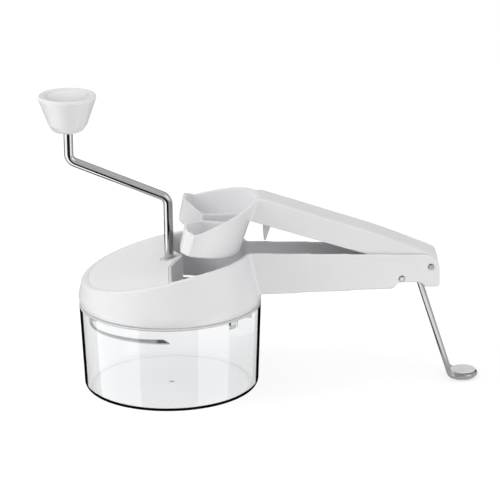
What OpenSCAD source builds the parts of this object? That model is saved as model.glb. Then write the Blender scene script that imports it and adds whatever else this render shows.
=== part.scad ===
// Rotary julienne slicer: clear bowl, cover with hopper and arm, crank, lever with pusher, wire leg.
// Millimetres. Z runs up the crank's axis, X along the arm, and the bowl stands on Z = 0.

/* [Show] */

/* [Bowl] */
// Outer radius of the wall carried down to the base
bowl_base_r = 78.5; // [65:0.1:85]
// Outer radius at the shoulder
bowl_top_r = 82; // [75:0.1:90]
// Height of the shoulder under the cover
bowl_h = 79.2; // [60:0.1:110]
// Wall thickness
bowl_wall = 2.5; // [1.5:0.1:4]
// Outer radius of the bottom corner
bowl_corner_r = 6; // [4:0.1:20]
// Height of the neck above the shoulder
neck_h = 8.8; // [4:0.1:12]
// Wall thickness of the neck
neck_wall = 2.2; // [1.2:0.1:3]
// Step from the shoulder's edge in to the neck
neck_step = 3.5; // [1:0.1:4.5]
// Width of a rest lug
lug_w = 8; // [4:0.5:16]
// Height of a rest lug
lug_h = 7; // [3:0.5:15]
// Overhang of a rest lug
lug_out = 0.8; // [0.5:0.1:2]
// Direction of the front rest lug
lug_angle = -47; // [-90:1:0]
// Radius of the gate mark in the floor
gate_r = 2.2; // [1:0.1:5]

/* [Cover] */
// Bulge of the cover beyond the bowl's shoulder
belly_out = 0.3; // [0.2:0.1:4]
// Height of the widest line above the lower edge
belly_rise = 6.5; // [3:0.1:12]
// Radius of the rolled lower lip
lip_arc_r = 16; // [8:0.5:30]
// Draft of the side wall
cover_draft = 12; // [4:0.5:15]
// Side wall thickness
cover_wall = 2.5; // [1.5:0.1:4]
// Height of the top on the crank's axis above the lower edge
cover_rise = 40.3; // [34:0.1:50]
// Slope of the top's left half
cover_tilt = 13.1; // [6:0.1:15]
// Radius of the crown between the sloped top and the arm
crown_r = 319; // [200:1:500]
// Thickness of the inset panel
panel_t = 2.2; // [1.5:0.1:3]
// Thickness of the plate under the panel
ledge_t = 2.2; // [1.5:0.1:3]
// Distance of the inset panel's seam inside the widest line
panel_in = 9.3; // [8.8:0.1:14]
// Gap between the hopper's wall and the bowl's neck
hopper_gap = 3.3; // [2.8:0.1:8]
// Hopper wall thickness
hopper_wall = 2.5; // [1.5:0.1:3]
// Position of the hopper's straight edge
hopper_edge_x = 1.8; // [-1:0.1:3]
// Half width of the edge's bend round the crank
hopper_v_half = 25; // [20:0.5:30]
// Depth of the edge's bend round the crank
hopper_v_depth = 10.8; // [10:0.1:16]
// Height of the hopper's lower edge above the cover's lower edge
chute_rise = 0.6; // [0:0.1:1.5]
// Radius of the crank's guide tube
boss_r = 8; // [7.8:0.1:10]
// Height of the guide tube's lower end above the hopper's lower edge
boss_lift = 1.8; // [1.6:0.1:2.6]

/* [Arm] */
// Width over the side walls
arm_w = 39; // [34:0.5:46]
// Side wall thickness
arm_wall = 2.5; // [2:0.1:4]
// Reach of the arm's end from the crank's axis
arm_reach = 242.3; // [215:0.1:260]
// Fall of the arm's top
arm_fall = 1.9; // [0.5:0.1:3]
// Radius of the upper corner at the arm's end
arm_end_r = 13; // [4:0.5:16]
// Height of the lower edge at the cover above the cover's lower edge
arm_low_rise = 9.4; // [7:0.1:11]
// Rise of the lower edge towards the arm's end
arm_low_pitch = 1.4; // [0:0.1:2]
// Height of the channel floor above the cover's lower edge
arm_floor_rise = 22.5; // [20:0.1:24]
// Thickness of the channel floor
arm_floor_t = 2; // [1.2:0.1:4]
// Gap between the channel floor's end and the leg
arm_floor_gap = 5.4; // [3:0.1:30]
// Distance of the notch's start from the arm's end
notch_from_in = 42.3; // [41:0.1:50]
// Distance of the notch's end from the arm's end
notch_to_in = 12.8; // [11:0.1:14]
// Depth of the notch
notch_h = 5.6; // [2:0.1:5.8]
// Width of the slot for the lever's catch
slot_w = 9; // [7:0.5:16]

/* [Lever] */
// Angle that the lever stands open
lever_open = 15.5; // [0:0.5:50]
// Distance of the hinge from the arm's end
hinge_in = 7.9; // [6.8:0.1:8.8]
// Height of the hinge above the cover's lower edge
hinge_rise = 32.4; // [31:0.1:34]
// Radius of the hinge pin
hinge_pin_r = 2.3; // [1.5:0.1:3.5]
// Radius of the lever's nose round the pin
lever_nose_r = 6.1; // [5:0.1:6.5]
// Side wall thickness
lever_wall = 2.2; // [1.5:0.1:4]
// Top thickness
lever_top_t = 2.5; // [1.5:0.1:4]
// Height of the heel's top above the hinge
heel_h = 9.5; // [8:0.1:13]
// Radius of the corner at the heel's end
heel_end_r = 8; // [2:0.1:9]
// Length of the heel's slope
heel_len = 55.5; // [40:0.5:70]
// Rise of the heel's slope
heel_pitch = 7.5; // [6:0.1:9]
// Radius between the heel's slope and the long top
brow_r = 600; // [200:10:900]
// Rise of the long top from the heel's slope to the crest
lever_pitch = 3.2; // [2:0.1:5]
// Rise of the top from the pusher to the crest
crest_pitch = 21; // [15:0.5:26]
// Radius of the crest
crest_r = 22; // [10:1:30]
// Height of the side wall's lower edge above the hinge, at the pusher
lever_low_rise = 0.7; // [-2:0.1:3]
// Width of the catch
catch_w = 5; // [3:0.5:6]
// Height of the catch's tip above the arm's lower edge, lever closed
catch_tip_rise = 5.1; // [2:0.1:8]

/* [Pusher] */
// Height of the foot above the hopper's lower edge, lever closed
pusher_lift = 0.9; // [0.5:0.1:6]
// Gap between the pusher and the hopper at its foot
pusher_gap = 5; // [3.6:0.1:8]
// Draft of the pusher's wall
pusher_draft = 3.7; // [0:0.1:4]
// Wall thickness
pusher_wall = 2.2; // [1.5:0.1:3]
// Height of the floor above the foot
pusher_floor = 6.6; // [3:0.1:12]
// Floor thickness
pusher_floor_t = 2.2; // [1.5:0.1:3]
// Position of the ears' faces
ear_x = 9.6; // [8:0.1:13]
// Distance of an ear's corner from the middle
ear_y = 57; // [50:0.5:60]
// Radius of an ear's corner
ear_corner_r = 7; // [3:0.5:9]
// Turn of the face outside an ear
ear_turn = 52; // [30:1:60]
// Height of an ear above the foot
ear_h = 22.2; // [18:0.1:26]
// Fall of the ears' rim away from the crank
ear_pitch = 6.4; // [0:0.1:10]
// Depth of the groove for the crank
groove_depth = 15.6; // [12:0.1:20]
// Distance of the groove's edge from the middle
groove_half = 36; // [28:0.5:40]
// Half width of the groove's bottom
groove_bottom = 10; // [6:0.5:12]
// Lean of the groove's faces
groove_lean = 3.5; // [2:0.1:8]
// Position of the side rim's lowest place
rim_low_x = 19; // [16:0.1:24]
// Radius of the side rim's lowest place
rim_low_r = 7; // [3:0.5:12]
// Slope of the side rim
rim_pitch = 33; // [24:0.1:34]
// Thickness of a web
web_t = 2.2; // [1.2:0.1:4]
// Height of a web at the groove above the foot
web_h = 20.1; // [15:0.1:22]
// Slope of the webs' tops, lever closed
web_pitch = 13; // [8:0.5:20]

/* [Crank] */
// Radius of the rod
rod_r = 4.1; // [3.5:0.1:4.6]
// Throw of the crank
crank_throw = 87.4; // [70:0.1:100]
// Height of the lower bend above the cover's top
stem_h = 56.2; // [48:0.1:73]
// Height gained by the slanted stretch
slant_h = 37.1; // [25:0.1:60]
// Bend radius of the rod's middle line
bend_r = 9; // [6:0.1:14]
// Height of the rod's shoulder under the knob above the upper bend
shoulder_h = 29.8; // [20:0.1:40]
// Radius of the knob's spigot
spigot_r = 3.2; // [2.8:0.1:3.4]
// Length of the knob's spigot
spigot_h = 22.5; // [20:0.1:24]
// Side of the rod's square end
square_w = 5.6; // [4.8:0.1:5.7]
// Radius of the threaded end
thread_r = 2.5; // [2:0.1:2.7]
// Outer radius of a bush
bush_r = 5.9; // [5.7:0.1:6.2]
// Length of a bush in the guide tube
bush_h = 10; // [6:0.5:14]
// Radius of a bush flange
flange_r = 7.6; // [6.8:0.1:8]
// Thickness of a bush flange
flange_t = 1.4; // [1:0.1:1.4]
// Outer radius of a retaining ring
ring_r = 5.5; // [5:0.1:5.6]
// Thickness of a retaining ring
ring_t = 1; // [0.6:0.1:1]
// Depth of a ring groove
ring_groove = 0.7; // [0.4:0.1:0.8]

/* [Knob] */
// Drop of the knob's underside below the rod's shoulder
knob_drop = 3; // [1:0.1:5]
// Radius of the knob's foot
knob_foot_r = 17.6; // [14:0.1:22]
// Height of the knob's foot
knob_foot_h = 7; // [4:0.1:10]
// Radius of the knob's rim
knob_rim_r = 26; // [23:0.1:32]
// Height of the knob
knob_h = 33.3; // [31:0.1:42]
// Width of the knob's rim
knob_rim_w = 7.4; // [3:0.1:9]
// Thickness of the cap
cap_t = 2; // [1.2:0.1:3]
// Depth of the cap's face below the rim
cap_sink = 0.8; // [0.3:0.1:1.5]
// Outer radius of the sleeve
sleeve_r = 6; // [5:0.1:7]
// Radius of the knob's ring
knob_ring_r = 5.2; // [4.5:0.1:6]

/* [Rotor] */
// Gap between the cutting disc and the bowl's neck
disc_gap = 3.9; // [2:0.1:10]
// Thickness of the cutting disc
disc_t = 1.2; // [0.8:0.1:1.5]
// Drop of the disc's face below the hopper's wall
disc_drop = 2.2; // [2:0.1:3]
// Turn of the disc on the rod
disc_turn = 180; // [0:90:270]
// Inner end of the blade window
window_from = 18; // [16:0.5:24]
// Width of the disc outside the blade window
disc_edge = 6.4; // [5:0.1:20]
// Width of the blade window
window_w = 13; // [8:0.5:16]
// Lift of the slicing blade's edge above the disc
blade_lift = 1.4; // [0.8:0.1:1.4]
// Width of the slicing blade on the disc
blade_w = 10; // [9.5:0.5:14]
// Distance of the blade's rivets from its edge of the window
rivet_back = 6; // [5:0.5:7]
// Distance of the comb from the window
comb_out = 4; // [3:0.5:6]
// Width of the comb's strip
comb_w = 7.5; // [7:0.5:9]
// Distance between two teeth of the comb
tooth_pitch = 4; // [2.5:0.5:8]
// Thickness of a tooth
tooth_t = 0.7; // [0.5:0.1:1]
// Radius of a rivet's head
rivet_r = 1.6; // [1:0.1:2]
// Radius of the hub
hub_r = 9; // [7:0.1:12]
// Radius of the hub's flange
hub_flange_r = 14; // [12:0.1:15]
// Height of the hub
hub_h = 12.7; // [10:0.1:16]
// Gap between the sweep blade and the bowl's wall
sweep_gap = 5.3; // [2:0.1:10]
// Thickness of the sweep blade
sweep_t = 1; // [0.8:0.1:2]
// Width of the sweep blade at its tip
sweep_tip_w = 11; // [8:0.1:14]
// Place of the sweep blade's tip, along X
sweep_tip_x = -1; // [-8:0.5:4]
// Lean of the sweep blade's cut tip
sweep_tip_lean = 27; // [10:1:35]
// Width of the sweep blade's thin end at its arm
sweep_tail_w = 2.5; // [2:0.1:4]
// Width of the sweep blade's arm
sweep_arm_w = 12; // [9:0.1:16]
// Radius of the disc nut
nut_r = 9; // [7:0.1:12]
// Height of the disc nut
nut_h = 6.5; // [5:0.1:8]

/* [Leg] */
// Radius of the wire
wire_r = 2.4; // [1.8:0.1:2.8]
// Distance of a wire from the middle
wire_y = 11.3; // [8:0.1:12]
// Distance of the leg's pivot from the arm's end
pivot_in = 34.3; // [33.3:0.1:36.3]
// Height of the pivot above the cover's lower edge
pivot_rise = 21.7; // [21.2:0.1:22.5]
// Length of the leg's upper stretch
leg_top_len = 14.7; // [13:0.1:16]
// Lean of the leg's shank
leg_lean = 17.2; // [10:0.1:20]
// Height of the loop's middle line
loop_z = 4.1; // [3.8:0.1:10]
// Distance from the shank's foot to the loop's centre
loop_reach = 11.9; // [11:0.1:25]
// Radius of the foot pad
pad_r = 11.6; // [10.8:0.1:13]
// Thickness of the foot pad's upper lip
pad_lip = 1; // [0.8:0.1:3]

/* [Fits] */
// Running clearance of pins and rods, radial
run_gap = 0.05; // [0.02:0.01:0.09]
// Clearance of a pressed piece, radial
press_gap = 0.03; // [0.01:0.01:0.05]
// Gap between pieces that sit on each other
seat_gap = 0.3; // [0.2:0.05:0.6]
// Side gap between the lever and the arm
lever_side_gap = 1; // [0.4:0.1:2]
// Gap between the cover's skirt and the neck
neck_gap = 0.5; // [0.3:0.1:1]

/* [Hidden] */
$fn = 96;
white = [0.93, 0.92, 0.94];
steel = [0.72, 0.73, 0.75];
far = 150;

// Heights that follow from the bowl
cover_z = bowl_h + seat_gap;
chute_z = cover_z + chute_rise;
top_z = cover_z + cover_rise;
boss_low_z = chute_z + boss_lift;
floor_z = cover_z + arm_floor_rise;
arm_low_z = cover_z + arm_low_rise;
hinge_z = cover_z + hinge_rise;
pivot_z = cover_z + pivot_rise;
disc_z = chute_z - disc_drop;
hub_z = disc_z - disc_t - hub_h;
sweep_z = hub_z - sweep_t;
foot_z = chute_z + pusher_lift;

// Cover radii
neck_r = bowl_top_r - neck_step;
neck_in_r = neck_r - neck_wall;
hopper_r = neck_in_r - hopper_gap - hopper_wall;
belly_r = bowl_top_r + belly_out;
belly_z = cover_z + belly_rise;
panel_r = belly_r - panel_in;
cone_r = belly_r - lip_arc_r * (1 - cos(cover_draft));
cone_z = belly_z + lip_arc_r * sin(cover_draft);
skirt_r = neck_r + neck_gap;
knee_z = cone_z + (cone_r - cover_wall / cos(cover_draft) - skirt_r) / tan(cover_draft);
crown_x = crown_r * sin(cover_tilt);
crown_z = top_z - crown_r * cos(cover_tilt);

// Arm and lever
arm_in = arm_w / 2 - arm_wall;
hinge_x = arm_reach - hinge_in;
pivot_x = arm_reach - pivot_in;
notch_from = arm_reach - notch_from_in;
notch_to = arm_reach - notch_to_in;
lever_half = arm_in - lever_side_gap;
arm_floor_reach = pivot_x - wire_r - arm_floor_gap;
notch_z = arm_low(notch_from) + notch_h;
block_z = arm_low(notch_to) + 0.4;
arm_end_x = crown_x + crown_r * sin(arm_fall);
arm_end_z = crown_z + crown_r * cos(arm_fall);
stop_x = pivot_x + leg_top_len + (pivot_z - block_z) * tan(leg_lean) + wire_r / cos(leg_lean) + seat_gap;
heel_x = hinge_x + lever_nose_r;
heel_z = hinge_z + heel_h;
brow_x = heel_x - heel_len;
brow_z = heel_z + heel_len * tan(heel_pitch);
root_x = hopper_r - pusher_gap + 1.5;
rim_low_z = foot_z + ear_h - (rim_low_x - ear_x) * tan(ear_pitch);
root_z = rim_height(root_x);
crest_x = crest_position();
crest_z = brow_z + (brow_x - crest_x) * tan(lever_pitch);
catch_x = belly_r - 1.6;

// Crank and knob
bend_z = top_z + stem_h;
elbow_z = bend_z + slant_h;
shoulder_z = elbow_z + shoulder_h;
knob_z = shoulder_z - knob_drop;
ring_low_z = boss_low_z - flange_t - seat_gap - ring_t;
ring_high_z = boss_low_z + bush_h + seat_gap;
sleeve_h = spigot_h - ring_t - 1.5;
knob_ring_z = shoulder_z + 0.2 + sleeve_h + seat_gap;

// Rotor
disc_r = neck_in_r - disc_gap;
window_to = disc_r - disc_edge;
comb_x = window_w + comb_out;
comb_rivet_x = comb_x + comb_w * 2 / 3;
sweep_r = bowl_base_r + (bowl_top_r - bowl_base_r) * sweep_z / bowl_h - bowl_wall - sweep_gap;

// Leg
bend_x = pivot_x + leg_top_len;
shank_x = bend_x + (pivot_z - loop_z) * tan(leg_lean);
loop_x = shank_x + loop_reach;

// Height of the arm's lower edge
function arm_low(x) = arm_low_z + (x - belly_r) * tan(arm_low_pitch);

// Height of the pusher's side rim, lever closed
function rim_height(x) = rim_low_z + (x - rim_low_x) * tan(rim_pitch);

// Where the two slopes of the lever's top meet
function crest_position() = (brow_z - root_z + brow_x * tan(lever_pitch) + root_x * tan(crest_pitch))
    / (tan(lever_pitch) + tan(crest_pitch));

// Outer radius of the cover's wall at a height
function cover_radius(z) = cone_r - (z - cone_z) * tan(cover_draft);

function unit(v) = v / norm(v);
function flat(p) = [p[0], p[1]];
function place(p) = [p[0], p[1], p[2]];

// Points of an arc, angles counted from the X direction
function arc(centre, r, from, to, steps) =
    [for (i = [0:steps]) let (a = from + (to - from) * i / steps) centre + r * [cos(a), sin(a)]];

// Points of one rounded corner p between the points a and b
function corner(a, p, b, r, steps) = let (
    u = unit(a - p),
    w = unit(b - p),
    half = acos(u * w) / 2,
    centre = p + unit(u + w) * r / sin(half),
    start = p + u * r / tan(half) - centre,
    side = u[0] * w[1] - u[1] * w[0] < 0 ? 1 : -1,
    from = atan2(start[1], start[0])
) arc(centre, r, from, from + side * (180 - 2 * half), steps);

// Outline with the corners rounded whose third number is a radius
function rounded(pts, steps = 8) = let (n = len(pts)) [for (i = [0:n - 1])
    each len(pts[i]) > 2
        ? corner(flat(pts[(i + n - 1) % n]), flat(pts[i]), flat(pts[(i + 1) % n]), pts[i][2], steps)
        : [pts[i]]];

// Upright prism from an outline, between two heights
module prism(low, high, outline) {
    translate([0, 0, low]) linear_extrude(high - low) polygon(outline);
}

// Prism across the part from a side outline, given as X and Z
module side_prism(width, outline) {
    rotate([90, 0, 0]) linear_extrude(width, center = true) polygon(outline);
}

// Cylinder between two heights
module drum(r, low, high) {
    translate([0, 0, low]) cylinder(r = r, h = high - low);
}

// Cylinder across the part at a point of the side view
module cross_pin(r, length, x, z) {
    translate([x, 0, z]) rotate([90, 0, 0]) cylinder(r = r, h = length, center = true);
}

// Tube between two heights
module tube(r_out, r_in, low, high) {
    difference() {
        drum(r_out, low, high);
        drum(r_in, low - 1, high + 1);
    }
}

// Matrix whose columns are three axes and an origin
function axes(x, y, z, o) = [[x[0], y[0], z[0], o[0]], [x[1], y[1], z[1], o[1]],
    [x[2], y[2], z[2], o[2]], [0, 0, 0, 1]];

// Direction of the stretch that starts at point k of a path
function heading(path, k) = unit(place(path[k + 1]) - place(path[k]));

// Length that the bend at point k takes off the stretches beside it
function trim(path, k) = k == 0 || k == len(path) - 1 ? 0
    : path[k][3] * tan(acos(heading(path, k - 1) * heading(path, k)) / 2);

// Bent wire along a path whose points are X, Y, Z and bend radius.
// Each straight run enters its bends a little, and a bend is a hair thinner, so that they join cleanly.
module bent_wire(path, r) {
    for (k = [0:len(path) - 2]) {
        d = heading(path, k);
        x = unit(cross(abs(d[2]) < 0.9 ? [0, 0, 1] : [0, 1, 0], d));
        start = place(path[k]) + d * (trim(path, k) - (k > 0 ? 0.15 : 0));
        run = norm(place(path[k + 1]) - d * (trim(path, k + 1) - (k < len(path) - 2 ? 0.15 : 0)) - start);
        multmatrix(axes(x, cross(d, x), d, start)) cylinder(r = r, h = run);
    }
    for (k = [1:len(path) - 2]) {
        d = heading(path, k - 1);
        e = heading(path, k);
        n = unit(cross(d, e));
        x = -cross(n, d);
        centre = place(path[k]) - d * trim(path, k) - x * path[k][3];
        multmatrix(axes(x, d, n, centre)) rotate_extrude(angle = acos(d * e))
            translate([path[k][3], 0]) circle(r - 0.02);
    }
}

// Outline under the cover's and arm's top, lowered by a drop
function under_top(drop) = concat(
    [[-far, -far], [-far, top_z - far * tan(cover_tilt) - drop]],
    arc([crown_x, crown_z - drop], crown_r, 90 + cover_tilt, 90 - arm_fall, 16),
    [[2 * far, arm_end_z - (2 * far - arm_end_x) * tan(arm_fall) - drop], [2 * far, -far]]);

// Everything on the hopper's side of its edge, moved by a shift
function hopper_side(shift) = let (x = hopper_edge_x + shift) [[x, -far], [x, -hopper_v_half],
    [x + hopper_v_depth, 0], [x, hopper_v_half], [x, far], [far, far], [far, -far]];

// Solid body of revolution of the cover
module cover_round() {
    low = asin(belly_rise / lip_arc_r);
    rotate_extrude() polygon(concat([[0, cover_z]],
        arc([belly_r - lip_arc_r, belly_z], lip_arc_r, -low, cover_draft, 10),
        [[cover_radius(far), far], [0, far]]));
}

// Hollow inside the cover's side wall
module cover_core() {
    w = cover_wall / cos(cover_draft);
    intersection() {
        rotate_extrude() polygon([[0, cover_z - 20], [skirt_r, cover_z - 20], [skirt_r, knee_z],
            [cover_radius(far) - w, far], [0, far]]);
        side_prism(2 * far, under_top(panel_t + ledge_t));
    }
}

// Solid arm before its channel is cut
module arm_block() {
    end_z = arm_end_z - (arm_reach - arm_end_x) * tan(arm_fall) + 0.2;
    side_prism(arm_w, rounded([[60, arm_low(60)], [notch_from, notch_z - notch_h, 2],
        [notch_from + notch_h, notch_z, 2], [notch_to - notch_h, notch_z, 2],
        [notch_to, block_z, 1.5], [arm_reach, block_z, 3], [arm_reach, end_z, arm_end_r],
        [60, end_z + (arm_reach - 60) * tan(arm_fall)]]));
}

// Channel for the lever, recess for the leg, and the slot for the catch
module arm_hollow() {
    low = arm_low_z - 10;
    translate([hopper_r - 6, -arm_in, floor_z]) cube([arm_reach, 2 * arm_in, far]);
    translate([belly_r + 2, -arm_in, low])
        cube([stop_x - belly_r - 2, 2 * arm_in, floor_z - arm_floor_t - low]);
    translate([arm_floor_reach, -arm_in, low]) cube([stop_x - arm_floor_reach, 2 * arm_in, far]);
    side_prism(slot_w, [[catch_x - 1, floor_z + 1], [catch_x + 2.8, low], [catch_x + 10, low],
        [catch_x + 10, floor_z + 1]]);
}

// Rounds the corner between the hopper and the channel on one side
module hopper_corner(side) {
    r = 7;
    y = side * (arm_in + r);
    x = sqrt(pow(hopper_r + r, 2) - y * y);
    difference() {
        prism(floor_z, far, [[x * 0.9, y * 0.9], [x - r, side * arm_in * 0.9],
            [x, side * arm_in * 0.9], [x, y]]);
        translate([x, y, 0]) cylinder(r = r, h = far);
    }
}

// Inside of the hopper
module hopper_hole() {
    intersection() {
        drum(hopper_r, chute_z - 1, far);
        prism(chute_z - 2, far + 1, hopper_side(0));
    }
}

// Plan shape that the panel and its recess share
module panel_plan(r, shift, boss) {
    difference() {
        drum(r, cover_z, far);
        prism(cover_z - 1, far + 1, hopper_side(shift));
        drum(boss, cover_z - 1, far + 1);
    }
}

module bowl() {
    slope = (bowl_top_r - bowl_base_r) / bowl_h;
    rim_z = bowl_h + neck_h;
    throat_z = bowl_h - 1.4;
    color([0.82, 0.9, 0.95, 0.4]) union() {
        rotate_extrude() polygon(rounded([[0, 0], [bowl_base_r, 0, bowl_corner_r], [bowl_top_r, bowl_h, 0.8],
            [neck_r, bowl_h], [neck_r, rim_z, 0.8], [neck_in_r, rim_z, 0.8], [neck_in_r, throat_z],
            [bowl_top_r - bowl_wall - 2 * slope, throat_z - 0.6],
            [bowl_base_r - bowl_wall + bowl_wall * slope, bowl_wall, bowl_corner_r - bowl_wall],
            [0, bowl_wall]]));
        for (turn = [0, 180]) rotate([0, 0, lug_angle + turn]) intersection() {
            tube(bowl_top_r + lug_out, bowl_top_r - bowl_wall / 2, bowl_h - lug_h, bowl_h - 0.2);
            translate([0, -lug_w / 2, 0]) cube([far, lug_w, far]);
        }
        drum(gate_r, bowl_wall / 2, bowl_wall + 0.5);
    }
}

module cover() {
    color(white) difference() {
        union() {
            intersection() {
                union() {
                    difference() {
                        union() {
                            cover_round();
                            arm_block();
                        }
                        cover_core();
                    }
                    intersection() {
                        drum(hopper_r + hopper_wall, chute_z, far);
                        prism(chute_z - 1, far + 1, hopper_side(-hopper_wall));
                    }
                    drum(boss_r, boss_low_z, far);
                }
                side_prism(2 * far, under_top(0));
            }
        }
        hopper_hole();
        arm_hollow();
        for (side = [-1, 1]) hopper_corner(side);
        difference() {
            panel_plan(panel_r, -hopper_wall, boss_r);
            side_prism(2 * far, under_top(panel_t));
        }
        drum(bush_r + press_gap, boss_low_z - 1, far);
        cross_pin(hinge_pin_r + press_gap, arm_w + 2, hinge_x, hinge_z);
        cross_pin(wire_r + run_gap, arm_w + 2, pivot_x, pivot_z);
    }
}

module top_panel() {
    color([0.97, 0.96, 0.98]) intersection() {
        difference() {
            panel_plan(panel_r - seat_gap, -hopper_wall - seat_gap, boss_r + seat_gap);
            side_prism(2 * far, under_top(panel_t - press_gap));
        }
        side_prism(2 * far, under_top(0));
    }
}

module upper_bush() {
    color([0.85, 0.85, 0.87]) intersection() {
        tube(bush_r, rod_r + run_gap, top_z - bush_h, far);
        side_prism(2 * far, under_top(0));
    }
}

module lower_bush() {
    color([0.85, 0.85, 0.87]) difference() {
        union() {
            drum(bush_r, boss_low_z - 0.5, boss_low_z + bush_h);
            drum(flange_r, boss_low_z - flange_t, boss_low_z);
        }
        drum(rod_r + run_gap, 0, far);
    }
}

module hinge_pin() {
    color([0.4, 0.4, 0.42]) cross_pin(hinge_pin_r, arm_w - 0.4, hinge_x, hinge_z);
}

// Solid of the pusher's drafted wall, smaller by an inset
module pusher_round(inset) {
    r = hopper_r - pusher_gap - inset;
    translate([0, 0, foot_z - 1])
        cylinder(r1 = r - tan(pusher_draft), r2 = r + 61 * tan(pusher_draft), h = 62);
}

// Everything on the far side of the pusher's grooved face, moved by a shift
module groove_side(shift) {
    x = ear_x + shift;
    deep = x + groove_depth;
    back = x + (90 - ear_y) * tan(ear_turn);
    translate([0, 0, foot_z]) rotate([0, -groove_lean, 0]) prism(-30, 120, rounded([[back, -90],
        [x, -ear_y, ear_corner_r], [x, -groove_half, 6], [deep, -groove_bottom, 6], [deep, groove_bottom, 6],
        [x, groove_half, 6], [x, ear_y, ear_corner_r], [back, 90], [far, 90], [far, -90]]));
}

// Everything above the sloped line through a point of the side view
module above_line(x, z, pitch) {
    translate([x, 0, z]) rotate([0, -pitch, 0]) translate([-far, -far, 0]) cube([2 * far, 2 * far, far]);
}

// Space over the pusher's rim, lever closed
module above_rim() {
    rise = far * tan(ear_pitch);
    side_prism(2 * far, rounded([[rim_low_x - far, rim_low_z + rise], [rim_low_x, rim_low_z, rim_low_r],
        [rim_low_x + far, rim_height(rim_low_x + far)], [rim_low_x - far, rim_height(rim_low_x + far)]]));
}

// Plan of the web on one side, from the groove's bottom to the lever's wall
function web_plan(side) = let (
    from = [ear_x + groove_depth - 2, side * groove_bottom],
    to = [root_x, side * (lever_half - lever_wall / 2)],
    half = [0, web_t / 2]
) [from - half, to - half, to + half, from + half];

// Pusher tub, lever closed
module pusher_tub() {
    step = pusher_wall * 1.15;
    difference() {
        intersection() {
            pusher_round(0);
            groove_side(0);
        }
        drum(far, foot_z - 2, foot_z);
        intersection() {
            pusher_round(pusher_wall);
            groove_side(step);
            difference() {
                drum(far, foot_z - 3, foot_z + 80);
                drum(far - 1, foot_z + pusher_floor - pusher_floor_t, foot_z + pusher_floor);
            }
        }
        above_rim();
        difference() {
            above_line(rim_low_x, rim_low_z, -ear_pitch);
            groove_side(step + 0.4);
        }
    }
    for (side = [-1, 1]) intersection() {
        pusher_round(pusher_wall / 2);
        groove_side(step / 2);
        difference() {
            prism(foot_z + pusher_floor - 1, foot_z + far, web_plan(side));
            above_line(ear_x + groove_depth, foot_z + web_h, web_pitch);
        }
    }
}

// Side outline of the lever, smaller at the top by an inset
function lever_side(inset) = rounded([[root_x - 8, hinge_z + lever_low_rise],
    [hinge_x - 12, hinge_z - lever_nose_r], [heel_x, hinge_z - lever_nose_r, 5],
    [heel_x, heel_z - inset, heel_end_r], [brow_x, brow_z - inset, brow_r],
    [crest_x, crest_z - inset, crest_r],
    [root_x - 8, root_z - 8 * tan(crest_pitch) - inset]], 12);

// Lever with its pusher, lever closed
module closed_lever() {
    tip_z = arm_low_z + catch_tip_rise;
    hollow_from = hopper_r - pusher_gap + 4;
    hollow_to = hinge_x - 9;
    difference() {
        union() {
            pusher_tub();
            difference() {
                side_prism(2 * lever_half, lever_side(0));
                pusher_round(pusher_wall / 2);
                intersection() {
                    side_prism(2 * (lever_half - lever_wall), lever_side(lever_top_t));
                    translate([hollow_from, -far, 0]) cube([hollow_to - hollow_from, 2 * far, 2 * far]);
                }
                side_prism(2 * (lever_half - lever_wall), [[hollow_from, hinge_z - 20],
                    [hollow_to, hinge_z - 20], [hollow_to, hinge_z + 2], [hollow_from, hinge_z + 2]]);
            }
            side_prism(catch_w, rounded([[catch_x - 0.7, crest_z - 2.5], [catch_x - 0.3, floor_z + 4, 3],
                [catch_x + 3.8, tip_z, 0.7], [catch_x + 5.6, tip_z, 0.7],
                [catch_x + 6.2, floor_z + 4, 3], [catch_x + 6.6, crest_z - 2.5]]));
        }
        cross_pin(hinge_pin_r + run_gap, arm_w, hinge_x, hinge_z);
    }
}

module lever() {
    color(white) translate([hinge_x, 0, hinge_z]) rotate([0, lever_open, 0])
        translate([-hinge_x, 0, -hinge_z]) closed_lever();
}

// Groove in the rod for a ring
module rod_groove(r, low) {
    tube(r + 3, r - ring_groove, low, low + ring_t + 0.04);
}

module crank_rod() {
    square_low = sweep_z + 0.2;
    color(steel) difference() {
        union() {
            bent_wire([[0, 0, disc_z], [0, 0, bend_z, bend_r], [-crank_throw, 0, elbow_z, bend_r],
                [-crank_throw, 0, shoulder_z]], rod_r);
            translate([-square_w / 2, -square_w / 2, square_low])
                cube([square_w, square_w, disc_z - square_low + 1]);
            drum(thread_r, sweep_z - nut_h + 2, square_low + 1);
            translate([-crank_throw, 0, 0]) drum(spigot_r, shoulder_z - 1, shoulder_z + spigot_h);
        }
        rod_groove(rod_r, ring_low_z);
        rod_groove(rod_r, ring_high_z);
        translate([-crank_throw, 0, 0]) rod_groove(spigot_r, knob_ring_z);
    }
}

// Square hole for the rod's end
module square_hole() {
    w = square_w + 2 * run_gap;
    translate([-w / 2, -w / 2, 0]) cube([w, w, far]);
}

// Retaining ring with an open side
module open_ring(r_out, r_in, low) {
    difference() {
        tube(r_out, r_in, low, low + ring_t);
        translate([0, -1.2, low - 1]) cube([r_out + 1, 2.4, ring_t + 2]);
    }
}

module retaining_rings() {
    color(steel) for (low = [ring_low_z, ring_high_z])
        open_ring(ring_r, rod_r - ring_groove + press_gap, low + 0.02);
}

module cutting_disc() {
    long = window_to - window_from;
    color(steel) rotate([0, 0, disc_turn]) difference() {
        drum(disc_r, disc_z - disc_t, disc_z);
        square_hole();
        translate([0, window_from, 0]) cube([window_w, long, far]);
        translate([comb_x, window_from, 0]) cube([3.4, long, far]);
        for (y = [window_from + 4, window_to - 4]) {
            translate([-rivet_back, y, 0]) cylinder(r = rivet_r / 2 + press_gap, h = far);
            translate([comb_rivet_x, y, 0]) cylinder(r = rivet_r / 2 + press_gap, h = far);
        }
    }
}

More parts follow.
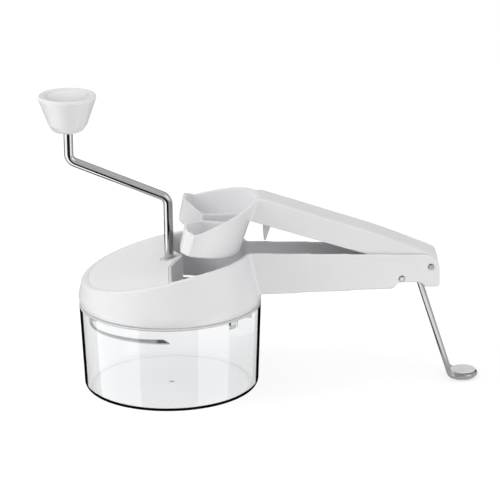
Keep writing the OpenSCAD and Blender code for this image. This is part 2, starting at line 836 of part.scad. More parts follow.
module slicing_blade() {
    long = window_to - window_from;
    edge = blade_lift - 0.3;
    color([0.8, 0.81, 0.83]) rotate([0, 0, disc_turn]) difference() {
        translate([0, window_to, disc_z]) rotate([90, 0, 0]) linear_extrude(long)
            polygon([[-blade_w, 0], [-1, 0], [2.5, edge], [1.8, blade_lift], [-2.5, 0.6], [-blade_w, 0.6]]);
        for (y = [window_from + 4, window_to - 4])
            translate([-rivet_back, y, 0]) cylinder(r = rivet_r / 2 + press_gap, h = far);
    }
}

module julienne_comb() {
    long = window_to - window_from;
    low = disc_z - disc_t;
    color([0.8, 0.81, 0.83]) rotate([0, 0, disc_turn]) difference() {
        union() {
            translate([comb_x + 0.3, window_from + 0.5, low - 1]) cube([comb_w, long - 1, 1]);
            for (y = [window_from + 3:tooth_pitch:window_to - 3])
                translate([comb_x + 0.3, y - tooth_t / 2, low - 0.5])
                    cube([2.8, tooth_t, disc_t + 0.5 + blade_lift]);
        }
        for (y = [window_from + 4, window_to - 4])
            translate([comb_rivet_x, y, 0]) cylinder(r = rivet_r / 2 + press_gap, h = far);
    }
}

module blade_rivets() {
    r = rivet_r / 2;
    low = disc_z - disc_t;
    color(steel) rotate([0, 0, disc_turn]) for (y = [window_from + 4, window_to - 4]) {
        translate([-rivet_back, y, 0]) union() {
            drum(r, low - 0.5, disc_z + 1);
            drum(rivet_r, low - 0.7, low);
            drum(rivet_r, disc_z + 0.6, disc_z + 1.2);
        }
        translate([comb_rivet_x, y, 0]) union() {
            drum(r, low - 1.5, disc_z + 0.5);
            drum(rivet_r, low - 1.7, low - 1);
            drum(rivet_r, disc_z, disc_z + 0.6);
        }
    }
}

module drive_hub() {
    top = disc_z - disc_t;
    color([0.9, 0.9, 0.92]) difference() {
        union() {
            drum(hub_flange_r, top - 2.5, top);
            drum(hub_r, hub_z, top - 1);
        }
        square_hole();
    }
}

// Plan of the sweep blade's crescent, up to its cut tip
function crescent_plan() = [[-far, -8], [-far, -far],
    [sweep_tip_x + (far - sweep_r) * tan(sweep_tip_lean), -far],
    [sweep_tip_x - (sweep_tip_w + 8) * tan(sweep_tip_lean), -sweep_r + sweep_tip_w + 8],
    [-30, -8]];

module sweep_blade() {
    high = sweep_z + sweep_t;
    shift = sweep_tip_w / 2 + 0.5;
    half = sweep_arm_w / 2;
    color([0.8, 0.81, 0.83]) difference() {
        union() {
            drum(hub_r + 2, sweep_z, high);
            for (turn = [0, 180]) rotate([0, 0, turn]) {
                intersection() {
                    drum(sweep_r, sweep_z, high);
                    translate([-far, -half, 0]) cube([far, sweep_arm_w, far]);
                }
                intersection() {
                    tube(sweep_r, sweep_r - sweep_tail_w, sweep_z, high);
                    translate([-far, -30, 0]) cube([far, 30 + half, far]);
                }
                intersection() {
                    difference() {
                        drum(sweep_r, sweep_z, high);
                        translate([-shift, shift, 0]) drum(sweep_r - shift + 1, sweep_z - 1, high + 1);
                    }
                    prism(0, far, crescent_plan());
                }
            }
        }
        square_hole();
    }
}

module disc_nut() {
    low = sweep_z - nut_h;
    color([0.85, 0.85, 0.87]) difference() {
        drum(nut_r, low, sweep_z);
        drum(thread_r + run_gap, low + 1.5, sweep_z + 1);
        translate([0, 0, sweep_z - 0.5]) drum(square_w, 0, 1);
        for (turn = [0:30:330]) rotate([0, 0, turn])
            translate([nut_r + 1, 0, 0]) drum(1.8, low - 1, sweep_z - 1.5);
    }
}

module knob() {
    rim_z = knob_z + knob_h;
    well_r = knob_rim_r - knob_rim_w;
    well_z = rim_z - cap_sink - cap_t;
    color(white) translate([-crank_throw, 0, 0]) difference() {
        rotate_extrude() polygon(rounded([[0, knob_z], [knob_foot_r - 4.5, knob_z, 6],
            [knob_foot_r, knob_z + knob_foot_h, 4], [knob_rim_r, rim_z - 2.5, 1.5],
            [knob_rim_r - 0.6, rim_z, 1], [0, rim_z]]));
        drum(well_r, well_z, rim_z + 1);
        drum(knob_ring_r + 2, shoulder_z + 0.2 + sleeve_h, rim_z + 1);
        drum(sleeve_r + press_gap, knob_z - 1, rim_z);
    }
}

module knob_sleeve() {
    color([0.85, 0.85, 0.87]) translate([-crank_throw, 0, 0])
        tube(sleeve_r, spigot_r + run_gap, shoulder_z + 0.2, shoulder_z + 0.2 + sleeve_h);
}

module knob_ring() {
    color(steel) translate([-crank_throw, 0, 0])
        open_ring(knob_ring_r, spigot_r - ring_groove + press_gap, knob_ring_z + 0.02);
}

module knob_cap() {
    top = knob_z + knob_h - cap_sink;
    r = knob_rim_r - knob_rim_w - seat_gap;
    color([0.97, 0.96, 0.98]) translate([-crank_throw, 0, 0])
        rotate_extrude() polygon(rounded([[0, top - cap_t], [r, top - cap_t], [r, top, 0.6], [0, top]]));
}

module leg_wire() {
    end_y = arm_w / 2 - 0.2;
    color(steel) bent_wire([[pivot_x, -end_y, pivot_z], [pivot_x, -wire_y, pivot_z, 4],
        [bend_x, -wire_y, pivot_z, 5], [shank_x, -wire_y, loop_z, 6.5],
        [loop_x + wire_y, -wire_y, loop_z, wire_y], [loop_x + wire_y, wire_y, loop_z, wire_y],
        [shank_x, wire_y, loop_z, 6.5], [bend_x, wire_y, pivot_z, 5],
        [pivot_x, wire_y, pivot_z, 4], [pivot_x, end_y, pivot_z]], wire_r);
}

module foot_pad() {
    neck = wire_y - wire_r - seat_gap;
    low = loop_z - wire_r - seat_gap;
    high = loop_z + wire_r + seat_gap;
    color([0.78, 0.78, 0.8]) translate([loop_x, 0, 0])
        rotate_extrude() polygon(rounded([[0, 0], [pad_r - 0.8, 0, 0.8], [pad_r - 0.8, low, 0.8],
            [neck, low], [neck, high], [pad_r, high, pad_lip / 4], [pad_r, high + pad_lip, pad_lip / 2],
            [0, high + pad_lip]]));
}

bowl();
cover();
top_panel();
upper_bush();
lower_bush();
hinge_pin();
lever();
crank_rod();
retaining_rings();
cutting_disc();
slicing_blade();
julienne_comb();
blade_rivets();
drive_hub();
sweep_blade();
disc_nut();
knob();
knob_sleeve();
knob_ring();
knob_cap();
leg_wire();
foot_pad();
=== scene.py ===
"""Looks of the rotary julienne slicer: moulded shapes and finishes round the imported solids."""
import math

import bmesh
import bpy
from mathutils import Matrix, Vector


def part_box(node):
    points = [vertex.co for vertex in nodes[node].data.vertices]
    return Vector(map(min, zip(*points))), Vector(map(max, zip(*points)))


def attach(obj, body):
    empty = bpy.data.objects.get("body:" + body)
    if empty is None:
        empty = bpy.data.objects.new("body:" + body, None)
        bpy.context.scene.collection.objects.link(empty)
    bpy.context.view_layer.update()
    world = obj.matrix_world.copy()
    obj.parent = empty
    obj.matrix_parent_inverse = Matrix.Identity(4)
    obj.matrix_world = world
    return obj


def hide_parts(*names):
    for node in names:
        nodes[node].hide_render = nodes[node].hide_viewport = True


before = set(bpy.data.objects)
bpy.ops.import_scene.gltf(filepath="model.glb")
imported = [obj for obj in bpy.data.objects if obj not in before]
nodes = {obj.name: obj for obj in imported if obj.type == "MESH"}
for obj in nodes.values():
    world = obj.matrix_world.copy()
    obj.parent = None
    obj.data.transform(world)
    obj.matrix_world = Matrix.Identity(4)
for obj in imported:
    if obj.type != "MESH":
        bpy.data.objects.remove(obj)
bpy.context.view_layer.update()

MM = 0.001
SMOOTH_EDGE = math.radians(32)

# Distances below which points of a mesh count as one, and stretches as none, millimetres
MERGE_COPY = 0.003
MERGE_TURNED = 0.002
NO_STRETCH = 0.01

# Plastics: how strongly they bend light; for the clear one, the mirror share from which light is caught and
# its edge is painted dark,
# # the near-black painted shade of those dark edges and the two shades of its tint
PLASTIC_IOR = 1.46
CLEAR_IOR = 1.46
DARK_EDGE_FROM = 0.97
PAINTED_EDGE_SHADE = (0.004, 0.004, 0.004)
CLEAR_LOW = (0.905, 0.91, 0.915)
CLEAR_HIGH = (0.925, 0.928, 0.932)

# Camera of the photograph, metres and degrees
EYE = Vector((0.0, -3.0434, 1.0989))
AIM = Vector((0.0728, 0.0045, 0.1239))
PICTURE_TURN = 0.834
FOCAL_MM = 256.0
SENSOR_MM = 36


# Finishes

def new_finish(name):
    """Node material with its tree and its shader."""
    finish = bpy.data.materials.new(name)
    finish.use_nodes = True
    return finish, finish.node_tree, finish.node_tree.nodes["Principled BSDF"]


def noise(tree, scale, detail, stretch=(1, 1, 1)):
    """Noise on the piece's own coordinates; returns the output that holds its value."""
    place = tree.nodes.new("ShaderNodeTexCoord")
    turn = tree.nodes.new("ShaderNodeMapping")
    turn.inputs["Scale"].default_value = stretch
    field = tree.nodes.new("ShaderNodeTexNoise")
    field.inputs["Scale"].default_value = scale
    field.inputs["Detail"].default_value = detail
    tree.links.new(place.outputs["Object"], turn.inputs["Vector"])
    tree.links.new(turn.outputs["Vector"], field.inputs["Vector"])
    return field.outputs["Fac"]


def tint(tree, shader, value, low, high):
    """Colour that runs between two near shades with a noise value."""
    ramp = tree.nodes.new("ShaderNodeValToRGB")
    ramp.color_ramp.elements[0].position = 0.3
    ramp.color_ramp.elements[0].color = (*low, 1)
    ramp.color_ramp.elements[1].position = 0.7
    ramp.color_ramp.elements[1].color = (*high, 1)
    tree.links.new(value, ramp.inputs["Fac"])
    tree.links.new(ramp.outputs["Color"], shader.inputs["Base Color"])


def gloss(tree, shader, value, low, high):
    """Roughness that runs between two values with a noise value."""
    span = tree.nodes.new("ShaderNodeMapRange")
    span.inputs["From Min"].default_value = 0.3
    span.inputs["From Max"].default_value = 0.7
    span.inputs["To Min"].default_value = low
    span.inputs["To Max"].default_value = high
    tree.links.new(value, span.inputs["Value"])
    tree.links.new(span.outputs["Result"], shader.inputs["Roughness"])


def grain(tree, shader, value, strength, depth):
    """Fine relief of the surface."""
    bump = tree.nodes.new("ShaderNodeBump")
    bump.inputs["Strength"].default_value = strength
    bump.inputs["Distance"].default_value = depth
    tree.links.new(value, bump.inputs["Height"])
    tree.links.new(bump.outputs["Normal"], shader.inputs["Normal"])


def moulded_plastic(name, low, high, rough):
    """Satin moulded plastic with a fine spark-eroded grain."""
    finish, tree, shader = new_finish(name)
    tint(tree, shader, noise(tree, 22, 3), low, high)
    gloss(tree, shader, noise(tree, 140, 4), rough - 0.04, rough + 0.05)
    grain(tree, shader, noise(tree, 1600, 2), 0.05, 0.0002)
    shader.inputs["IOR"].default_value = PLASTIC_IOR
    return finish


def paint_dark_edges(tree, shader):
    """Where a clear wall mirrors almost all light, its surface is painted near black: painted dark edges,
    painted shade for the dark surroundings it would mirror.
    """
    mirror = tree.nodes.new("ShaderNodeFresnel")
    mirror.inputs["IOR"].default_value = CLEAR_IOR
    painted_edge_mask = tree.nodes.new("ShaderNodeMath")
    painted_edge_mask.operation = "GREATER_THAN"
    painted_edge_mask.inputs[1].default_value = DARK_EDGE_FROM
    # Painted shade: a near-black diffuse surface takes the place of the glass where it mirrors almost all
    # light
    near_black_paint = tree.nodes.new("ShaderNodeBsdfDiffuse")
    near_black_paint.inputs["Color"].default_value = (*PAINTED_EDGE_SHADE, 1)
    edge = tree.nodes.new("ShaderNodeMixShader")
    tree.links.new(mirror.outputs["Fac"], painted_edge_mask.inputs[0])
    tree.links.new(painted_edge_mask.outputs["Value"], edge.inputs["Fac"])
    tree.links.new(shader.outputs["BSDF"], edge.inputs[1])
    tree.links.new(near_black_paint.outputs["BSDF"], edge.inputs[2])
    tree.links.new(edge.outputs["Shader"], tree.nodes["Material Output"].inputs["Surface"])


def clear_plastic(name, clearness, painted_dark_edge):
    """Clear or hazy injection-moulded plastic, with or without painted dark edges."""
    finish, tree, shader = new_finish(name)
    tint(tree, shader, noise(tree, 9, 2), CLEAR_LOW, CLEAR_HIGH)
    gloss(tree, shader, noise(tree, 60, 3), 0.0, 0.02)
    shader.inputs["Transmission Weight"].default_value = clearness
    shader.inputs["IOR"].default_value = CLEAR_IOR
    if painted_dark_edge:
        paint_dark_edges(tree, shader)
    return finish


def polished_metal(name, low, high, rough, stretch):
    """Drawn and polished steel with hair lines along one direction."""
    finish, tree, shader = new_finish(name)
    tint(tree, shader, noise(tree, 40, 3), low, high)
    lines = noise(tree, 700, 3, stretch)
    gloss(tree, shader, lines, rough - 0.05, rough + 0.06)
    grain(tree, shader, lines, 0.03, 0.0001)
    shader.inputs["Metallic"].default_value = 1
    return finish


def pad_rubber(name):
    """Pale matt rubber."""
    finish, tree, shader = new_finish(name)
    tint(tree, shader, noise(tree, 60, 3), (0.72, 0.72, 0.73), (0.78, 0.78, 0.79))
    gloss(tree, shader, noise(tree, 220, 3), 0.5, 0.64)
    grain(tree, shader, noise(tree, 900, 3), 0.12, 0.0003)
    return finish


white_shell = moulded_plastic("white_shell", (0.765, 0.765, 0.777), (0.79, 0.79, 0.80), 0.36)
# Inset panel: the white plastic made lighter, painted light for the light that falls on its up-facing top
panel_shell_painted_lit = moulded_plastic("panel_shell_painted_lit", (0.85, 0.85, 0.86), (0.87, 0.87, 0.88), 0.32)
bearing_shell = moulded_plastic("bearing_shell", (0.62, 0.62, 0.64), (0.67, 0.67, 0.69), 0.42)
# The bowl's clear plastic has painted dark edges (painted shade)
bowl_clear = clear_plastic("bowl_clear", 1, True)
neck_haze = clear_plastic("neck_haze", 0.35, False)
crank_steel = polished_metal("crank_steel", (0.36, 0.36, 0.365), (0.4, 0.4, 0.405), 0.1, (1, 1, 0.05))
wire_steel = polished_metal("wire_steel", (0.28, 0.28, 0.29), (0.33, 0.33, 0.34), 0.1, (1, 1, 0.05))
blade_steel = polished_metal("blade_steel", (0.6, 0.6, 0.61), (0.7, 0.7, 0.71), 0.22, (1, 0.06, 1))
dark_steel = polished_metal("dark_steel", (0.26, 0.26, 0.27), (0.32, 0.32, 0.33), 0.32, (1, 1, 1))
foot_rubber = pad_rubber("foot_rubber")


# Making of pieces

def put(name, mesh, body, replaced, finish):
    """New piece that rides on a body and stands for CAD nodes."""
    mesh.materials.clear()
    mesh.materials.append(finish)
    piece = bpy.data.objects.new(name, mesh)
    bpy.context.scene.collection.objects.link(piece)
    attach(piece, body)
    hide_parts(*replaced)
    return piece


def even(piece):
    """Flat faces of a piece shade flat, and only its roundings shade round."""
    weight = piece.modifiers.new("even", "WEIGHTED_NORMAL")
    weight.keep_sharp = True
    return piece


def smooth_mesh(shape, name):
    """Mesh of a finished shape, smooth up to its sharp edges."""
    for face in shape.faces:
        face.smooth = True
    mesh = bpy.data.meshes.new(name)
    shape.to_mesh(mesh)
    shape.free()
    mesh.set_sharp_from_angle(angle=SMOOTH_EDGE)
    return mesh


def merged_copy(node):
    """Copy of a CAD node's mesh with its loose triangles joined and smooth faces."""
    shape = bmesh.new()
    shape.from_mesh(nodes[node].data)
    bmesh.ops.remove_doubles(shape, verts=shape.verts, dist=MERGE_COPY * MM)
    return smooth_mesh(shape, node + "_copy")


def moulded_copy(node, voxel, passes):
    """Copy of a CAD node with the softened edges of a moulding."""
    rough = bpy.data.objects.new(node + "_rough", merged_copy(node))
    bpy.context.scene.collection.objects.link(rough)
    skin = rough.modifiers.new("skin", "REMESH")
    skin.mode = "VOXEL"
    skin.voxel_size = voxel
    skin.use_smooth_shade = True
    soften = rough.modifiers.new("soften", "SMOOTH")
    soften.factor = 0.5
    soften.iterations = passes
    depsgraph = bpy.context.evaluated_depsgraph_get()
    mesh = bpy.data.meshes.new_from_object(rough.evaluated_get(depsgraph))
    bpy.data.objects.remove(rough)
    return mesh


def only(geom, kind):
    """Parts of one kind, in their order."""
    return [part for part in geom if isinstance(part, kind)]


def turned(profile, centre, turn=0, steps=192):
    """Closed body of revolution from corners of radius, height and rounding, in millimetres."""
    shape = bmesh.new()
    corners = [shape.verts.new((corner[0] * MM, 0, corner[1] * MM)) for corner in profile]
    for first, second in zip(corners, corners[1:]):
        shape.edges.new((first, second))
    for vert, corner in zip(corners, profile):
        if len(corner) > 2:
            bmesh.ops.bevel(shape, geom=[vert], offset=corner[2] * MM, segments=8, profile=0.5,
                            affect="VERTICES", material=-1)
    bmesh.ops.rotate(shape, verts=shape.verts, cent=(0, 0, 0),
                     matrix=Matrix.Rotation(math.radians(turn), 3, "Z"))
    bmesh.ops.spin(shape, geom=shape.verts[:] + shape.edges[:], cent=(0, 0, 0), axis=(0, 0, 1),
                   angle=math.tau, steps=steps, use_merge=True)
    bmesh.ops.remove_doubles(shape, verts=shape.verts, dist=MERGE_TURNED * MM)
    bmesh.ops.recalc_face_normals(shape, faces=shape.faces)
    bmesh.ops.translate(shape, verts=shape.verts, vec=(centre[0] * MM, centre[1] * MM, 0))
    return shape


def swept(shape, path, radius, end_round, sides=40, bend_steps=16):
    """Round bar along corners of place and bend radius, in millimetres, with rounded ends."""
    places = [Vector(corner[:3]) * MM for corner in path]
    ways = [(second - first).normalized() for first, second in zip(places, places[1:])]
    old = set(shape.edges)
    facing = ways[0].to_track_quat("Z", "Y").to_matrix().to_4x4()
    bmesh.ops.create_circle(shape, segments=sides, radius=radius * MM,
                            matrix=Matrix.Translation(places[0]) @ facing)
    ring = [edge for edge in shape.edges if edge not in old]
    here = places[0]
    for index, way in enumerate(ways):
        bend = path[index + 1][3] * MM if index + 1 < len(ways) else 0
        angle = way.angle(ways[index + 1]) if bend else 0
        reach = bend * math.tan(angle / 2)
        stretch = places[index + 1] - way * reach - here
        if stretch.length > NO_STRETCH * MM:
            ring = grown(shape, ring, stretch)
        if bend:
            axis = way.cross(ways[index + 1]).normalized()
            geom = ring + list(dict.fromkeys(vert for edge in ring for vert in edge.verts))
            bent = bmesh.ops.spin(shape, geom=geom, cent=here + stretch + axis.cross(way) * bend, axis=axis,
                                  angle=angle, steps=bend_steps)
            ring = only(bent["geom_last"], bmesh.types.BMEdge)
            here = places[index + 1] + ways[index + 1] * reach
    open_edges = [edge for edge in shape.edges if edge.is_boundary and edge not in old]
    bmesh.ops.holes_fill(shape, edges=open_edges, sides=0)
    bmesh.ops.recalc_face_normals(shape, faces=shape.faces)
    bmesh.ops.bevel(shape, geom=open_edges, offset=end_round * MM, segments=4, profile=0.5, affect="EDGES",
                    material=-1)


def grown(shape, ring, stretch):
    """Straight tube from a ring of edges; returns the ring at its end."""
    geom = bmesh.ops.extrude_edge_only(shape, edges=ring)["geom"]
    verts = only(geom, bmesh.types.BMVert)
    bmesh.ops.translate(shape, verts=verts, vec=stretch)
    return [edge for edge in only(geom, bmesh.types.BMEdge) if set(verts).issuperset(edge.verts)]


# Mouldings: fineness of their skin, millimetres, and passes that soften it
COVER_SKIN = 1.15
COVER_PASSES = 3
LEVER_SKIN = 1.0
LEVER_PASSES = 5
put("cover_moulding", moulded_copy("cover", COVER_SKIN * MM, COVER_PASSES), "cover", ["cover"],
    white_shell)
put("lever_moulding", moulded_copy("lever", LEVER_SKIN * MM, LEVER_PASSES), "lever", ["lever"],
    white_shell)
# The inset panel wears the lighter plastic with its painted light
even(put("inset_panel", merged_copy("top_panel"), "cover", ["top_panel"], panel_shell_painted_lit))

# Clear bowl, millimetres and degrees
BOWL_H = 79.2
BOWL_WALL = 2.5
BOWL_BASE_R = 78.5
BOWL_TOP_R = 82
NECK_OUT_R = 78.5
NECK_IN_R = 76.3
NECK_TOP = 88
THROAT_LOW = 77.2
THROAT_HIGH = 77.8
FOOT_ROUND = 6
INNER_FOOT_ROUND = FOOT_ROUND - BOWL_WALL
SHOULDER_ROUND = 0.6
NECK_FOOT_ROUND = 0.4
RIM_ROUND = 0.5
THROAT_ROUND = 0.25
HAZE_LOW = THROAT_LOW - 0.5
HAZE_HIGH = BOWL_H + 0.1
GATE_R = 2.2
GATE_TOP_R = GATE_R - 0.2
GATE_H = 0.5
GATE_FOOT_ROUND = 0.15
GATE_ROUND = 0.1
LUG_LOW = 72.2
LUG_HIGH = 78.2
LUG_EDGE = LUG_LOW - 1
LUG_OUT = 0.8
LUG_ANGLE = -47
BOWL_STEPS = 192
LUG_STEPS = 3


def wall_r(z):
    """Outer radius of the bowl's wall at a height."""
    return BOWL_BASE_R + (BOWL_TOP_R - BOWL_BASE_R) * z / BOWL_H


def bowl_mesh():
    """Bowl with its neck, gate mark and two rest lugs."""
    lug_half = LUG_STEPS / 2 * 360 / BOWL_STEPS
    outside = [(0, 0), (BOWL_BASE_R, 0, FOOT_ROUND), (wall_r(LUG_EDGE), LUG_EDGE),
               (wall_r(LUG_LOW), LUG_LOW), (wall_r(LUG_HIGH), LUG_HIGH),
               (BOWL_TOP_R, BOWL_H, SHOULDER_ROUND)]
    neck = [(NECK_OUT_R, BOWL_H, NECK_FOOT_ROUND), (NECK_OUT_R, NECK_TOP, RIM_ROUND),
            (NECK_IN_R, NECK_TOP, RIM_ROUND)]
    inside = [(NECK_IN_R, THROAT_HIGH, THROAT_ROUND),
              (wall_r(THROAT_LOW) - BOWL_WALL, THROAT_LOW, THROAT_ROUND),
              (wall_r(BOWL_WALL) - BOWL_WALL, BOWL_WALL, INNER_FOOT_ROUND)]
    gate = [(GATE_R, BOWL_WALL, GATE_FOOT_ROUND), (GATE_TOP_R, BOWL_WALL + GATE_H, GATE_ROUND),
            (0, BOWL_WALL + GATE_H)]
    shape = turned(outside + neck + inside + gate, (0, 0), LUG_ANGLE - lug_half, BOWL_STEPS)
    for side in (LUG_ANGLE, LUG_ANGLE + 180):
        out = Vector((math.cos(math.radians(side)), math.sin(math.radians(side)), 0))
        lug = []
        for face in shape.faces:
            middle = face.calc_center_median()
            flat = Vector((middle.x, middle.y, 0))
            if (LUG_LOW * MM < middle.z < LUG_HIGH * MM and flat.length > NECK_OUT_R * MM
                    and flat.angle(out) < math.radians(lug_half)):
                lug.append(face)
        grown_lug = bmesh.ops.extrude_face_region(shape, geom=lug)["geom"]
        bmesh.ops.translate(shape, verts=only(grown_lug, bmesh.types.BMVert), vec=out * LUG_OUT * MM)
    bmesh.ops.recalc_face_normals(shape, faces=shape.faces)
    return smooth_mesh(shape, "bowl_shell")


bowl_shell = even(put("bowl_shell", bowl_mesh(), "bowl", ["bowl"], bowl_clear))
# The shoulder between wall and neck is hazy
bowl_shell.data.materials.append(neck_haze)
for face in bowl_shell.data.polygons:
    if HAZE_LOW < face.center.z / MM < HAZE_HIGH:
        face.material_index = 1
bowl_shell.visible_shadow = False
bowl_shell.visible_diffuse = False

# Knob, millimetres
KNOB_X = (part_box("knob")[0][0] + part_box("knob")[1][0]) / 2 / MM
LID_R = 18.3
LID_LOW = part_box("knob_cap")[0][2] / MM
LID_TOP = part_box("knob")[1][2] / MM - 0.3
LID_FOOT_ROUND = 0.3
LID_EDGE_ROUND = 0.1
DISH_ROUND = 4
DISH_HALF_DEPTH = 1.6
DISH_DEPTH = 1.9
even(put("knob_moulding", merged_copy("knob"), "knob", ["knob"], white_shell))
lid = turned([(0, LID_LOW), (LID_R, LID_LOW, LID_FOOT_ROUND), (LID_R, LID_TOP, LID_EDGE_ROUND),
              (LID_R / 2, LID_TOP - DISH_HALF_DEPTH, DISH_ROUND), (0, LID_TOP - DISH_DEPTH)], (KNOB_X, 0))
even(put("knob_lid", smooth_mesh(lid, "knob_lid"), "knob", ["knob_cap"], white_shell))

# Crank, millimetres
ROD_R = 4.1
ROD_LOW = 77.9
ROD_BEND = 176
ROD_ELBOW = 213.1
ROD_SHOULDER = 242.9
ROD_BEND_R = 9
SPIGOT_R = 3.2
SQUARE_W = 5.6
SQUARE_LOW = 63.2
THREAD_R = 2.5
ROD_END_ROUND = 0.3
SPIGOT_END_ROUND = 0.4
rod_low, rod_high = (corner[2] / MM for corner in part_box("crank_rod"))
bar = bmesh.new()
swept(bar, [(0, 0, ROD_LOW), (0, 0, ROD_BEND, ROD_BEND_R), (KNOB_X, 0, ROD_ELBOW, ROD_BEND_R),
            (KNOB_X, 0, ROD_SHOULDER)], ROD_R, ROD_END_ROUND)
swept(bar, [(KNOB_X, 0, ROD_SHOULDER), (KNOB_X, 0, rod_high)], SPIGOT_R, SPIGOT_END_ROUND)
swept(bar, [(0, 0, rod_low), (0, 0, SQUARE_LOW)], THREAD_R, SPIGOT_END_ROUND)
bmesh.ops.create_cube(bar, size=1, matrix=Matrix.Translation((0, 0, (SQUARE_LOW + ROD_LOW) / 2 * MM))
                      @ Matrix.Diagonal((SQUARE_W * MM, SQUARE_W * MM, (ROD_LOW - SQUARE_LOW) * MM, 1)))
even(put("crank_bar", smooth_mesh(bar, "crank_bar"), "crank", ["crank_rod"], crank_steel))

# Wire leg, millimetres and degrees
WIRE_R = 2.4
WIRE_Y = 11.3
WIRE_END_Y = 19.9
PIVOT_X = 208
PIVOT_Z = 101.2
PIVOT_BEND_R = 4
LEG_BEND_R = 5
FOOT_BEND_R = 6.5
WIRE_END_ROUND = 0.7
LEG_RUN = 14.7
LOOP_RUN = 11.9
LEG_BEND_X = PIVOT_X + LEG_RUN
LEG_LEAN = 17.2
LOOP_Z = 4.1
SHANK_X = LEG_BEND_X + (PIVOT_Z - LOOP_Z) * math.tan(math.radians(LEG_LEAN))
LOOP_END_X = SHANK_X + LOOP_RUN + WIRE_Y
half_leg = [(PIVOT_X, -WIRE_END_Y, PIVOT_Z, 0), (PIVOT_X, -WIRE_Y, PIVOT_Z, PIVOT_BEND_R),
            (LEG_BEND_X, -WIRE_Y, PIVOT_Z, LEG_BEND_R), (SHANK_X, -WIRE_Y, LOOP_Z, FOOT_BEND_R),
            (LOOP_END_X, -WIRE_Y, LOOP_Z, WIRE_Y)]
wire = bmesh.new()
swept(wire, half_leg + [(x, -y, z, r) for x, y, z, r in reversed(half_leg)], WIRE_R, WIRE_END_ROUND)
even(put("leg_bow", smooth_mesh(wire, "leg_bow"), "leg", ["leg_wire"], wire_steel))

# Metal and bearings
even(put("foot_button", merged_copy("foot_pad"), "leg", ["foot_pad"], foot_rubber))
pin_low, pin_high = (Vector(corner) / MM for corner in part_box("hinge_pin"))
PIN_R = (pin_high.x - pin_low.x) / 2
PIN_END_ROUND = 0.5
pin_at = (pin_low + pin_high) / 2
pin = bmesh.new()
swept(pin, [(pin_at.x, -WIRE_END_Y, pin_at.z), (pin_at.x, WIRE_END_Y, pin_at.z)], PIN_R, PIN_END_ROUND)
even(put("pin_of_hinge", smooth_mesh(pin, "pin_of_hinge"), "cover", ["hinge_pin"], dark_steel))
for node, name in (("upper_bush", "collar_upper"), ("lower_bush", "collar_lower")):
    even(put(name, merged_copy(node), "cover", [node], bearing_shell))
for node, name in (("drive_hub", "hub_block"), ("disc_nut", "fluted_nut")):
    even(put(name, merged_copy(node), "crank", [node], bearing_shell))
even(put("sleeve_of_knob", merged_copy("knob_sleeve"), "knob", ["knob_sleeve"],
         bearing_shell))
for node, name in (("cutting_disc", "disc_plate"), ("slicing_blade", "blade_strip"),
                   ("julienne_comb", "comb_strip"), ("sweep_blade", "sweep_crescent")):
    even(put(name, merged_copy(node), "crank", [node], blade_steel))
for node, name in (("retaining_rings", "rod_rings"), ("knob_ring", "spigot_ring"),
                   ("blade_rivets", "rivet_heads")):
    even(put(name, merged_copy(node), "crank", [node], dark_steel))


# Stage, metres; shares of light are of full white
FLOOR_BOUNCE = 0.82
FLOOR_SEEN = 0.38
FLOOR_GLOW = 0.69
FLOOR_HALF = 12
FLOOR_Z = -0.0003
AMBIENT = 0.78
LAMP_WIDTH = 1.2
LAMP_AIM = (0.05, 0, 0.1)
CARD_NEAR = 0.005
CARD_FAR = 1.4
CARD_SHORT = 0.15
BASE_CARD_IN = 0.070
BASE_CARD_OUT = 0.088
CARD_Z = 0.0004
CARD_STEPS = 12


def seen_rays(tree):
    """1 for rays from the camera, mirrors and clear plastic, otherwise 0."""
    path = tree.nodes.new("ShaderNodeLightPath")
    first = tree.nodes.new("ShaderNodeMath")
    first.operation = "MAXIMUM"
    second = tree.nodes.new("ShaderNodeMath")
    second.operation = "MAXIMUM"
    tree.links.new(path.outputs["Is Camera Ray"], first.inputs[0])
    tree.links.new(path.outputs["Is Glossy Ray"], first.inputs[1])
    tree.links.new(first.outputs["Value"], second.inputs[0])
    tree.links.new(path.outputs["Is Transmission Ray"], second.inputs[1])
    return second.outputs["Value"]


def flat_stage(name, shape, finish):
    """Stage piece from a flat shape."""
    mesh = bpy.data.meshes.new(name)
    shape.to_mesh(mesh)
    shape.free()
    mesh.materials.append(finish)
    piece = bpy.data.objects.new(name, mesh)
    bpy.context.scene.collection.objects.link(piece)
    return piece


def between(tree, value, low, high):
    """Runs from one number to another with a value."""
    span = tree.nodes.new("ShaderNodeMapRange")
    span.inputs["To Min"].default_value = low
    span.inputs["To Max"].default_value = high
    tree.links.new(value, span.inputs["Value"])
    return span.outputs["Result"]


def pale_floor():
    """Large pale floor that keeps a light shadow and throws light back up."""
    shape = bmesh.new()
    bmesh.ops.create_grid(shape, x_segments=1, y_segments=1, size=FLOOR_HALF)
    bmesh.ops.translate(shape, verts=shape.verts, vec=(0, 0, FLOOR_Z))
    finish, tree, shader = new_finish("pale_floor")
    seen = seen_rays(tree)
    tree.links.new(between(tree, seen, FLOOR_BOUNCE, FLOOR_SEEN), shader.inputs["Base Color"])
    shader.inputs["Roughness"].default_value = 0.9
    shader.inputs["Specular IOR Level"].default_value = 0
    shader.inputs["Emission Color"].default_value = (1, 1, 1, 1)
    tree.links.new(between(tree, seen, 0, FLOOR_GLOW), shader.inputs["Emission Strength"])
    flat_stage("floor", shape, finish)


def white_world(ambient):
    """White backdrop for what is seen, and an even soft light on the object."""
    world = bpy.data.worlds.new("studio")
    world.use_nodes = True
    tree = world.node_tree
    back = tree.nodes["Background"]
    back.inputs["Color"].default_value = (1, 1, 1, 1)
    tree.links.new(between(tree, seen_rays(tree), ambient, 1), back.inputs["Strength"])
    bpy.context.scene.world = world


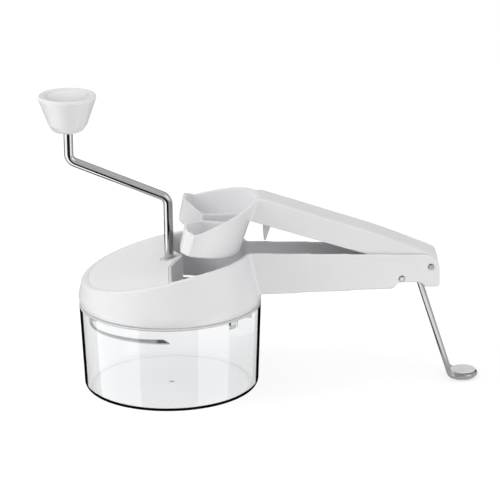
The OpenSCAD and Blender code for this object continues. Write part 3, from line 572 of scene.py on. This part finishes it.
def softbox(name, place, aim, width, power):
    """Square soft lamp turned to a point."""
    lamp = bpy.data.lights.new(name, "AREA")
    lamp.size = width
    lamp.energy = power
    box = bpy.data.objects.new(name, lamp)
    box.location = place
    box.rotation_euler = (Vector(aim) - Vector(place)).to_track_quat("-Z", "Y").to_euler()
    bpy.context.scene.collection.objects.link(box)


def reflected_card(name, shape, glow):
    """Card that shows only as a reflection."""
    finish, tree, shader = new_finish(name)
    shader.inputs["Base Color"].default_value = (0, 0, 0, 1)
    shader.inputs["Specular IOR Level"].default_value = 0
    shader.inputs["Emission Color"].default_value = (1, 1, 1, 1)
    shader.inputs["Emission Strength"].default_value = glow
    card = flat_stage(name, shape, finish)
    card.visible_camera = False
    card.visible_diffuse = False
    card.visible_transmission = False
    card.visible_shadow = False


def floor_card(name, first, last, glow, far):
    """Card on the floor that the bowl's wall mirrors between two places, as shares of the bowl's radius."""
    shape = bmesh.new()
    rows = []
    for step in range(CARD_STEPS + 1):
        turn = math.asin(first + (last - first) * step / CARD_STEPS)
        wall = Vector((math.sin(turn), -math.cos(turn), 0)) * BOWL_TOP_R * MM
        way = Vector((math.sin(2 * turn), -math.cos(2 * turn), 0))
        rows.append([shape.verts.new(wall + way * reach + Vector((0, 0, CARD_Z)))
                     for reach in (CARD_NEAR, far)])
    for one, two in zip(rows, rows[1:]):
        shape.faces.new((one[0], one[1], two[1], two[0]))
    reflected_card(name, shape, glow)


def base_card(name, glow):
    """Ring on the floor that the rounded foot of the bowl mirrors."""
    shape = bmesh.new()
    for radius in (BASE_CARD_IN, BASE_CARD_OUT):
        bmesh.ops.create_circle(shape, segments=BOWL_STEPS, radius=radius)
    bmesh.ops.translate(shape, verts=shape.verts, vec=(0, 0, CARD_Z / 2))
    bmesh.ops.bridge_loops(shape, edges=shape.edges[:])
    reflected_card(name, shape, glow)


def high_card(name, place, aim, wide, high, glow):
    """Card that stands away from the object and faces it."""
    shape = bmesh.new()
    bmesh.ops.create_grid(shape, x_segments=1, y_segments=1, size=0.5)
    bmesh.ops.scale(shape, verts=shape.verts, vec=(wide, high, 1))
    turn = (Vector(aim) - Vector(place)).to_track_quat("Z", "Y").to_matrix().to_4x4()
    bmesh.ops.transform(shape, matrix=Matrix.Translation(place) @ turn, verts=shape.verts)
    reflected_card(name, shape, glow)


pale_floor()
white_world(AMBIENT)
softbox("left_box", (-1.8, -0.4, 1.6), LAMP_AIM, LAMP_WIDTH, 20)
softbox("right_box", (1.6, -1.2, 1.0), LAMP_AIM, LAMP_WIDTH, 6)
# Cards in the order in which the bowl mirrors them, from left to right
for name, first, last, glow, far in (("card_left_rim", -0.9999, -0.93, 0, CARD_FAR),
                                     ("card_left_edge", -0.93, -0.82, 0.25, CARD_FAR),
                                     ("card_left", -0.82, -0.36, 2.4, CARD_FAR),
                                     ("card_front", -0.36, 0.3, 0.02, CARD_FAR),
                                     ("card_right", 0.3, 0.65, 2.2, CARD_FAR),
                                     ("card_right_side", 0.65, 0.82, 0.2, CARD_SHORT),
                                     ("card_right_edge", 0.82, 0.93, 0.4, CARD_SHORT),
                                     ("card_right_rim", 0.93, 0.9999, 0, CARD_FAR)):
    floor_card(name, first, last, glow, far)
base_card("card_base", 0)
high_card("card_above", (-0.2, -1.5, 1.5), (-0.04, 0, 0.2), 1.6, 0.8, 0.03)
high_card("card_behind", (0, 1.8, 0.8), (0, 0, 0.2), 3, 1, 0.05)


# Camera
camera = bpy.data.objects.new("camera", bpy.data.cameras.new("camera"))
camera.data.sensor_width = SENSOR_MM
camera.data.lens = FOCAL_MM
looking = (AIM - EYE).to_track_quat("-Z", "Y").to_matrix().to_4x4()
picture_turn = Matrix.Rotation(-math.radians(PICTURE_TURN), 4, "Z")
camera.matrix_world = Matrix.Translation(EYE) @ looking @ picture_turn
bpy.context.scene.collection.objects.link(camera)
bpy.context.scene.camera = camera
bpy.context.scene.view_settings.view_transform = "Standard"
